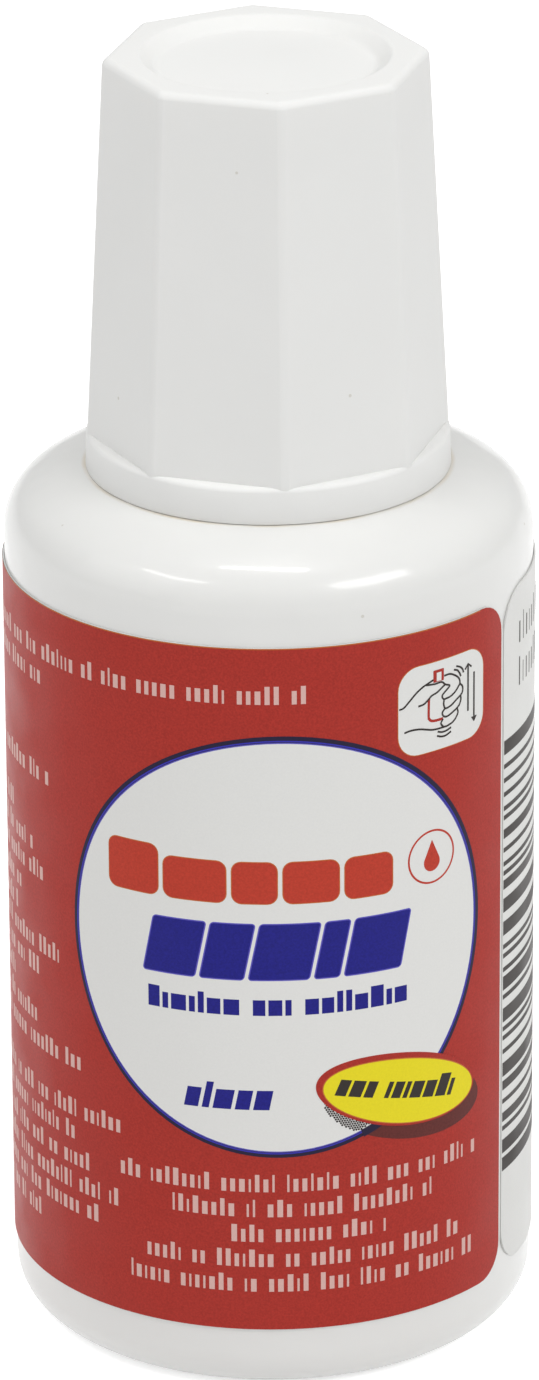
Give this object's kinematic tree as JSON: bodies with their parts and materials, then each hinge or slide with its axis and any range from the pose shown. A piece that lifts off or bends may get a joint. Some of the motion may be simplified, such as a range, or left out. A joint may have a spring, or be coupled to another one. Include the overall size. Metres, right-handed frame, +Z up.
{
  "type": "correction fluid bottle",
  "caption": "Round white bottle with a wrap label and an octagonal screw cap that carries a brush through a wiped neck.",
  "frame": {"origin": "centre of the standing ring's plane, on the bottle's axis", "axes": "+Z up along the bottle's axis to the cap, -Y towards the front of the label, +X to its right"},
  "size_m": [0.028, 0.028, 0.07],
  "materials": {
    "bottle_plastic": "glossy white blown polyethylene",
    "label_film": "printed plastic film, satin",
    "soft_plastic": "translucent soft polyethylene",
    "ball_steel": "polished steel",
    "washer_foam": "expanded polyethylene",
    "cap_plastic": "satin white polypropylene",
    "stem_plastic": "white polypropylene",
    "bristle_nylon": "nylon filament",
    "anchor_metal": "bright drawn wire"
  },
  "bodies": {
    "bottle": {"bottle": "bottle_plastic", "label": "label_film", "neck_wiper": "soft_plastic", "mixing_ball": "ball_steel"},
    "washer": {"cap_washer": "washer_foam"},
    "cap": {"cap": "cap_plastic", "cap_core": "cap_plastic", "stem": "stem_plastic", "bristles": "bristle_nylon", "bristle_anchor": "anchor_metal"}
  },
  "joints": [
    {"name": "cap_rise", "type": "slide", "parent": "bottle", "child": "washer", "axis": [0, 0, 1], "range_m": [0, 0.0571]},
    {"name": "cap_turn", "type": "hinge", "parent": "washer", "child": "cap", "pos_m": [0, 0, 0.0585], "axis": [0, 0, 1], "range_deg": [0, 6840]}
  ],
  "couplings": [
    {"joint": "cap_rise", "follows": "cap_turn", "m_per_rad": 0.00047746}
  ]
}
